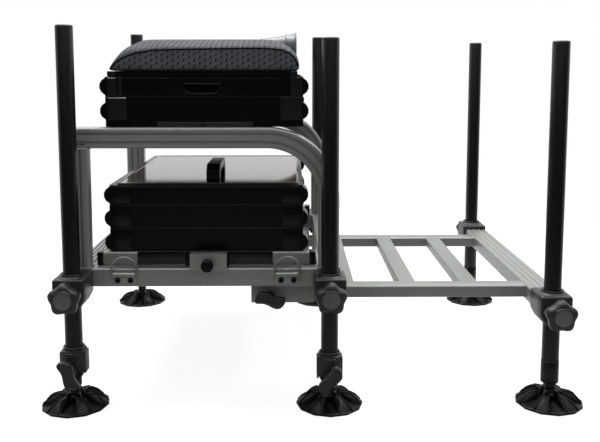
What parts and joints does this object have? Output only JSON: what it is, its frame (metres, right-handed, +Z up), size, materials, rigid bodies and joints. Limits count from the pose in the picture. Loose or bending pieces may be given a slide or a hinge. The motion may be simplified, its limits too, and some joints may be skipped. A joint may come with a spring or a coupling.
{
  "type": "fishing seat box",
  "caption": "Fishing seat box: cushioned pod with drawer on an arched frame, slide-out trays and footplate, clamped telescopic legs with pivoting mud feet.",
  "frame": {"origin": "on the ground, under the middle of the whole box", "axes": "+X towards the footplate, +Y away from the drawer side, +Z up"},
  "size_m": [0.96, 0.768, 0.6821],
  "materials": {
    "frame_aluminium": "satin grey anodised",
    "fitting_steel": "dull plated",
    "leg_anodised": "black anodised",
    "clamp_moulding": "moulded nylon",
    "foot_moulding": "moulded",
    "tray_black": "fine satin",
    "lid_gloss": "high gloss",
    "cushion_fabric": "woven, padded",
    "cup_grey": "gloss"
  },
  "bodies": {
    "chassis": {"base_frame": "frame_aluminium", "side_arch_near": "frame_aluminium", "side_arch_far": "frame_aluminium", "leg_clamp_near_rear": "clamp_moulding", "leg_clamp_near_middle": "clamp_moulding", "leg_clamp_far_rear": "clamp_moulding", "leg_clamp_far_middle": "clamp_moulding", "ring_bracket_rear": "fitting_steel", "ring_bracket_front": "fitting_steel", "pod_tray": "tray_black", "drawer_housing": "tray_black"},
    "footplate": {"footplate": "frame_aluminium", "leg_clamp_near_front": "clamp_moulding", "leg_clamp_far_front": "clamp_moulding"},
    "leg_near_rear": {"leg_tube_near_rear": "leg_anodised", "lock_collar_near_rear": "clamp_moulding"},
    "clamp_knob_near_rear": {"clamp_knob_near_rear": "clamp_moulding"},
    "inner_leg_near_rear": {"inner_leg_near_rear": "leg_anodised"},
    "wing_knob_near_rear": {"wing_knob_near_rear": "clamp_moulding"},
    "mud_foot_near_rear": {"mud_foot_near_rear": "foot_moulding"},
    "leg_near_middle": {"leg_tube_near_middle": "leg_anodised", "lock_collar_near_middle": "clamp_moulding"},
    "clamp_knob_near_middle": {"clamp_knob_near_middle": "clamp_moulding"},
    "inner_leg_near_middle": {"inner_leg_near_middle": "leg_anodised"},
    "wing_knob_near_middle": {"wing_knob_near_middle": "clamp_moulding"},
    "mud_foot_near_middle": {"mud_foot_near_middle": "foot_moulding"},
    "leg_near_front": {"leg_tube_near_front": "leg_anodised", "leg_stub_near_front": "leg_anodised"},
    "clamp_knob_near_front": {"clamp_knob_near_front": "clamp_moulding"},
    "mud_foot_near_front": {"mud_foot_near_front": "foot_moulding"},
    "leg_far_rear": {"leg_tube_far_rear": "leg_anodised", "lock_collar_far_rear": "clamp_moulding"},
    "clamp_knob_far_rear": {"clamp_knob_far_rear": "clamp_moulding"},
    "inner_leg_far_rear": {"inner_leg_far_rear": "leg_anodised"},
    "wing_knob_far_rear": {"wing_knob_far_rear": "clamp_moulding"},
    "mud_foot_far_rear": {"mud_foot_far_rear": "foot_moulding"},
    "leg_far_middle": {"leg_tube_far_middle": "leg_anodised", "lock_collar_far_middle": "clamp_moulding"},
    "clamp_knob_far_middle": {"clamp_knob_far_middle": "clamp_moulding"},
    "inner_leg_far_middle": {"inner_leg_far_middle": "leg_anodised"},
    "wing_knob_far_middle": {"wing_knob_far_middle": "clamp_moulding"},
    "mud_foot_far_middle": {"mud_foot_far_middle": "foot_moulding"},
    "leg_far_front": {"leg_tube_far_front": "leg_anodised", "leg_stub_far_front": "leg_anodised"},
    "clamp_knob_far_front": {"clamp_knob_far_front": "clamp_moulding"},
    "mud_foot_far_front": {"mud_foot_far_front": "foot_moulding"},
    "sleeve_knob_near": {"sleeve_knob_near": "clamp_moulding"},
    "sleeve_knob_far": {"sleeve_knob_far": "clamp_moulding"},
    "d_ring_rear": {"d_ring_rear": "fitting_steel"},
    "d_ring_front": {"d_ring_front": "fitting_steel"},
    "deck": {"slide_deck": "frame_aluminium", "tray_bottom": "tray_black", "tray_middle": "tray_black", "tray_top": "tray_black"},
    "lid": {"tray_lid": "lid_gloss"},
    "latch": {"latch_plunger": "clamp_moulding"},
    "drawer": {"side_drawer": "tray_black"},
    "seat": {"seat_base": "tray_black", "seat_cushion": "cushion_fabric", "flared_cup": "cup_grey"}
  },
  "joints": [
    {"name": "footplate_slide", "type": "slide", "parent": "chassis", "child": "footplate", "axis": [-1, 0, 0], "range_m": [0, 0.25]},
    {"name": "leg_slide_near_rear", "type": "slide", "parent": "chassis", "child": "leg_near_rear", "axis": [0, 0, 1], "range_m": [-0.35, 0.07]},
    {"name": "clamp_knob_turn_near_rear", "type": "hinge", "parent": "chassis", "child": "clamp_knob_near_rear", "pos_m": [-0.421, -0.32, 0.2065], "axis": [0, -1, 0], "range_deg": [0, 360]},
    {"name": "inner_leg_slide_near_rear", "type": "slide", "parent": "leg_near_rear", "child": "inner_leg_near_rear", "axis": [0, 0, -1], "range_m": [0, 0.15]},
    {"name": "wing_knob_turn_near_rear", "type": "hinge", "parent": "leg_near_rear", "child": "wing_knob_near_rear", "pos_m": [-0.421, -0.32, 0.069], "axis": [0, -1, 0], "range_deg": [0, 360]},
    {"name": "mud_foot_tilt_near_rear", "type": "hinge", "parent": "inner_leg_near_rear", "child": "mud_foot_near_rear", "pos_m": [-0.421, -0.32, 0.018], "axis": [0, 1, 0], "range_deg": [-25, 25]},
    {"name": "leg_slide_near_middle", "type": "slide", "parent": "chassis", "child": "leg_near_middle", "axis": [0, 0, 1], "range_m": [-0.35, 0.07]},
    {"name": "clamp_knob_turn_near_middle", "type": "hinge", "parent": "chassis", "child": "clamp_knob_near_middle", "pos_m": [0.029, -0.32, 0.2065], "axis": [0, -1, 0], "range_deg": [0, 360]},
    {"name": "inner_leg_slide_near_middle", "type": "slide", "parent": "leg_near_middle", "child": "inner_leg_near_middle", "axis": [0, 0, -1], "range_m": [0, 0.15]},
    {"name": "wing_knob_turn_near_middle", "type": "hinge", "parent": "leg_near_middle", "child": "wing_knob_near_middle", "pos_m": [0.029, -0.32, 0.0575], "axis": [0, -1, 0], "range_deg": [0, 360]},
    {"name": "mud_foot_tilt_near_middle", "type": "hinge", "parent": "inner_leg_near_middle", "child": "mud_foot_near_middle", "pos_m": [0.029, -0.32, 0.018], "axis": [0, 1, 0], "range_deg": [-25, 25]},
    {"name": "leg_slide_near_front", "type": "slide", "parent": "footplate", "child": "leg_near_front", "axis": [0, 0, 1], "range_m": [-0.35, 0.07]},
    {"name": "clamp_knob_turn_near_front", "type": "hinge", "parent": "footplate", "child": "clamp_knob_near_front", "pos_m": [0.421, -0.32, 0.1745], "axis": [0, -1, 0], "range_deg": [0, 360]},
    {"name": "mud_foot_tilt_near_front", "type": "hinge", "parent": "leg_near_front", "child": "mud_foot_near_front", "pos_m": [0.421, -0.32, 0.018], "axis": [0, 1, 0], "range_deg": [-25, 25]},
    {"name": "leg_slide_far_rear", "type": "slide", "parent": "chassis", "child": "leg_far_rear", "axis": [0, 0, 1], "range_m": [-0.35, 0.07]},
    {"name": "clamp_knob_turn_far_rear", "type": "hinge", "parent": "chassis", "child": "clamp_knob_far_rear", "pos_m": [-0.421, 0.32, 0.2065], "axis": [0, 1, 0], "range_deg": [0, 360]},
    {"name": "inner_leg_slide_far_rear", "type": "slide", "parent": "leg_far_rear", "child": "inner_leg_far_rear", "axis": [0, 0, -1], "range_m": [0, 0.15]},
    {"name": "wing_knob_turn_far_rear", "type": "hinge", "parent": "leg_far_rear", "child": "wing_knob_far_rear", "pos_m": [-0.421, 0.32, 0.069], "axis": [0, 1, 0], "range_deg": [0, 360]},
    {"name": "mud_foot_tilt_far_rear", "type": "hinge", "parent": "inner_leg_far_rear", "child": "mud_foot_far_rear", "pos_m": [-0.421, 0.32, 0.018], "axis": [0, 1, 0], "range_deg": [-25, 25]},
    {"name": "leg_slide_far_middle", "type": "slide", "parent": "chassis", "child": "leg_far_middle", "axis": [0, 0, 1], "range_m": [-0.35, 0.07]},
    {"name": "clamp_knob_turn_far_middle", "type": "hinge", "parent": "chassis", "child": "clamp_knob_far_middle", "pos_m": [0.029, 0.32, 0.2065], "axis": [0, 1, 0], "range_deg": [0, 360]},
    {"name": "inner_leg_slide_far_middle", "type": "slide", "parent": "leg_far_middle", "child": "inner_leg_far_middle", "axis": [0, 0, -1], "range_m": [0, 0.15]},
    {"name": "wing_knob_turn_far_middle", "type": "hinge", "parent": "leg_far_middle", "child": "wing_knob_far_middle", "pos_m": [0.029, 0.32, 0.0575], "axis": [0, 1, 0], "range_deg": [0, 360]},
    {"name": "mud_foot_tilt_far_middle", "type": "hinge", "parent": "inner_leg_far_middle", "child": "mud_foot_far_middle", "pos_m": [0.029, 0.32, 0.018], "axis": [0, 1, 0], "range_deg": [-25, 25]},
    {"name": "leg_slide_far_front", "type": "slide", "parent": "footplate", "child": "leg_far_front", "axis": [0, 0, 1], "range_m": [-0.35, 0.06]},
    {"name": "clamp_knob_turn_far_front", "type": "hinge", "parent": "footplate", "child": "clamp_knob_far_front", "pos_m": [0.421, 0.32, 0.1745], "axis": [0, 1, 0], "range_deg": [0, 360]},
    {"name": "mud_foot_tilt_far_front", "type": "hinge", "parent": "leg_far_front", "child": "mud_foot_far_front", "pos_m": [0.421, 0.32, 0.018], "axis": [0, 1, 0], "range_deg": [-25, 25]},
    {"name": "sleeve_knob_turn_near", "type": "hinge", "parent": "chassis", "child": "sleeve_knob_near", "pos_m": [-0.077, -0.32, 0.174], "axis": [0, -1, 0], "range_deg": [0, 360]},
    {"name": "sleeve_knob_turn_far", "type": "hinge", "parent": "chassis", "child": "sleeve_knob_far", "pos_m": [-0.077, 0.32, 0.174], "axis": [0, 1, 0], "range_deg": [0, 360]},
    {"name": "d_ring_swing_rear", "type": "hinge", "parent": "chassis", "child": "d_ring_rear", "pos_m": [-0.3377, -0.2868, 0.227], "axis": [1, 0, 0], "range_deg": [0, 160]},
    {"name": "d_ring_swing_front", "type": "hinge", "parent": "chassis", "child": "d_ring_front", "pos_m": [-0.0454, -0.2868, 0.227], "axis": [1, 0, 0], "range_deg": [0, 160]},
    {"name": "deck_slide", "type": "slide", "parent": "chassis", "child": "deck", "axis": [1, 0, 0], "range_m": [0, 0.2]},
    {"name": "lid_lift", "type": "slide", "parent": "deck", "child": "lid", "axis": [0, 0, 1], "range_m": [0, 0.055]},
    {"name": "latch_pull", "type": "slide", "parent": "chassis", "child": "latch", "axis": [0, -1, 0], "range_m": [0, 0.008], "stiffness_N_per_m": 800, "springref_m": -0.004},
    {"name": "drawer_slide", "type": "slide", "parent": "chassis", "child": "drawer", "axis": [0, -1, 0], "range_m": [0, 0.3]},
    {"name": "seat_hinge", "type": "hinge", "parent": "chassis", "child": "seat", "pos_m": [-0.3705, 0, 0.5794], "axis": [0, -1, 0], "range_deg": [0, 95]}
  ]
}
